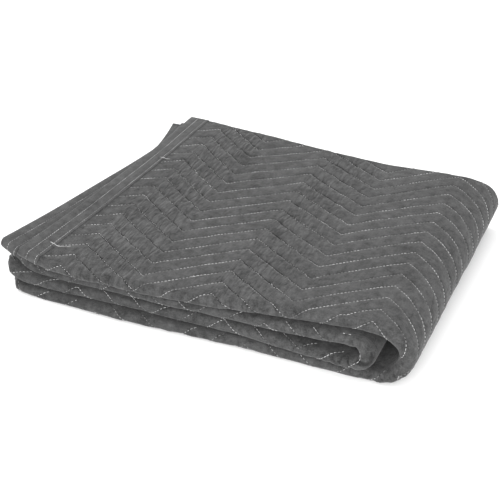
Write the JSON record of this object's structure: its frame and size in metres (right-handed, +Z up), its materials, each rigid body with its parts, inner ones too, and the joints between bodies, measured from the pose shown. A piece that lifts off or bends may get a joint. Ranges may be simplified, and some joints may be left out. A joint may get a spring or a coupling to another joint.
{
  "type": "folded quilted moving blanket",
  "caption": "Dark grey zigzag-quilted moving blanket, folded for storage into a flat stack with a rolled spine, with bound edges.",
  "frame": {"origin": "middle of the box around the folded blanket, on the surface that it lies on", "axes": "+X from the bound ends to the rolled spine, +Y from the folded front edge to the back edge with the long bindings, +Z up"},
  "size_m": [0.551, 0.4378, 0.0742],
  "materials": {
    "felt": "matt needled felt, mottled dark grey",
    "binding_felt": "matt felt strip, slightly lighter grey"
  },
  "bodies": {
    "root": {"quilted_cloth": "felt", "end_binding_upper": "binding_felt", "end_binding_lower": "binding_felt", "side_binding_third_ply": "binding_felt", "side_binding_fourth_ply": "binding_felt"}
  },
  "joints": []
}
